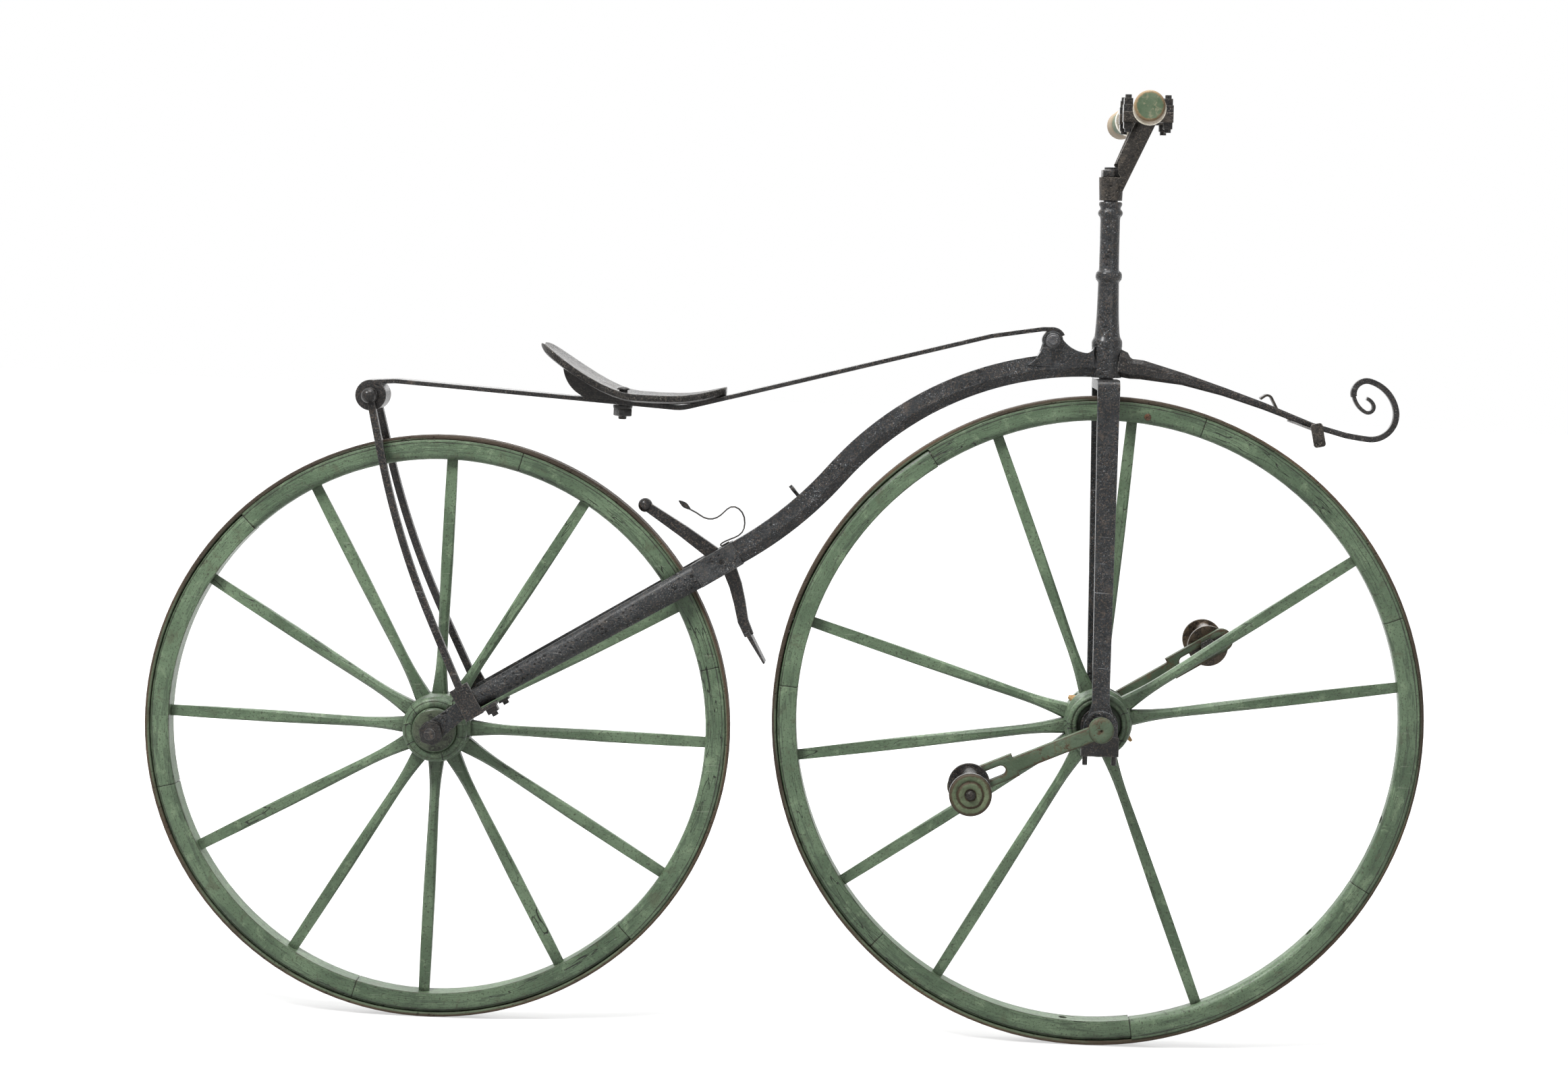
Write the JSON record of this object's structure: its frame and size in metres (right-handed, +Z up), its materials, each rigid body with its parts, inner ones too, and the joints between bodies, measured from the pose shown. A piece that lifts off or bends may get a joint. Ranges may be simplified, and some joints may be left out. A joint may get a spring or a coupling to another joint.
{
  "type": "boneshaker velocipede",
  "caption": "Iron-framed velocipede with wooden spoked wheels, iron tyres, pedal cranks on the steered front wheel, spring-borne saddle and a lever brake on the rear tyre.",
  "frame": {"origin": "on top of the saddle in the middle plane, where the rider sits", "axes": "+X forward, +Y to the rider's left, +Z up"},
  "size_m": [1.792, 0.5256, 1.3342],
  "materials": {
    "frame_iron": "worn black paint over pitted wrought iron, brown rust showing through",
    "green_wood": "old grey-green paint on wood, cracked along the grain",
    "tyre_iron": "rusted iron hoop",
    "grip_wood": "green paint worn to bare wood at the edges",
    "ferrule_metal": "dull bright metal",
    "saddle_hide": "hardened black leather",
    "wedge_wood": "dark stained wood",
    "green_iron": "green paint chipped to rust at the edges",
    "pedal_iron": "black and green paint, rust on the rims"
  },
  "bodies": {
    "frame": {"backbone": "frame_iron", "rear_fork": "frame_iron", "head_column": "frame_iron", "leg_rest_bar": "frame_iron", "leg_rest": "frame_iron", "saddle_spring": "frame_iron", "spring_front_bolt": "frame_iron", "spring_rear_bolt": "frame_iron", "stay_right": "frame_iron", "stay_left": "frame_iron", "stay_bolts": "frame_iron", "saddle": "saddle_hide", "saddle_wedge": "wedge_wood", "saddle_bolt": "frame_iron", "brake_lever": "frame_iron", "brake_pivot": "frame_iron", "brake_return_spring": "frame_iron", "cord_eye": "frame_iron", "rear_axle": "frame_iron", "rear_axle_nuts": "frame_iron"},
    "steering": {"front_fork": "frame_iron", "axle_keepers": "frame_iron", "keeper_bolts": "frame_iron", "stem": "frame_iron", "stem_nut": "frame_iron", "bar_caps": "frame_iron", "bar_cap_nuts": "frame_iron", "handlebar": "frame_iron", "grip_right": "grip_wood", "grip_left": "grip_wood", "grip_ferrules": "ferrule_metal"},
    "front_wheel": {"front_tyre": "tyre_iron", "front_felloes": "green_wood", "front_spokes": "green_wood", "front_hub": "green_wood", "front_axle": "frame_iron", "crank_right": "green_iron", "crank_left": "green_iron", "pedal_pin_right": "frame_iron", "pedal_pin_left": "frame_iron"},
    "right_pedal": {"pedal_right": "pedal_iron"},
    "left_pedal": {"pedal_left": "pedal_iron"},
    "rear_wheel": {"rear_tyre": "tyre_iron", "rear_felloes": "green_wood", "rear_spokes": "green_wood", "rear_hub": "green_wood"}
  },
  "joints": [
    {"name": "steering_turn", "type": "hinge", "parent": "frame", "child": "steering", "pos_m": [0.6354, 0, -0.432], "axis": [-0.0201, 0, 0.9998], "range_deg": [-40, 40]},
    {"name": "front_wheel_spin", "type": "hinge", "parent": "steering", "child": "front_wheel", "pos_m": [0.6354, 0, -0.432], "axis": [0, 1, 0], "continuous": true},
    {"name": "right_pedal_spin", "type": "hinge", "parent": "front_wheel", "child": "right_pedal", "pos_m": [0.45649, -0.141, -0.51203], "axis": [0, 1, 0], "continuous": true},
    {"name": "left_pedal_spin", "type": "hinge", "parent": "front_wheel", "child": "left_pedal", "pos_m": [0.79653, 0.141, -0.33132], "axis": [0, 1, 0], "continuous": true},
    {"name": "rear_wheel_spin", "type": "hinge", "parent": "frame", "child": "rear_wheel", "pos_m": [-0.2896, 0, -0.479], "axis": [0, 1, 0], "continuous": true}
  ]
}
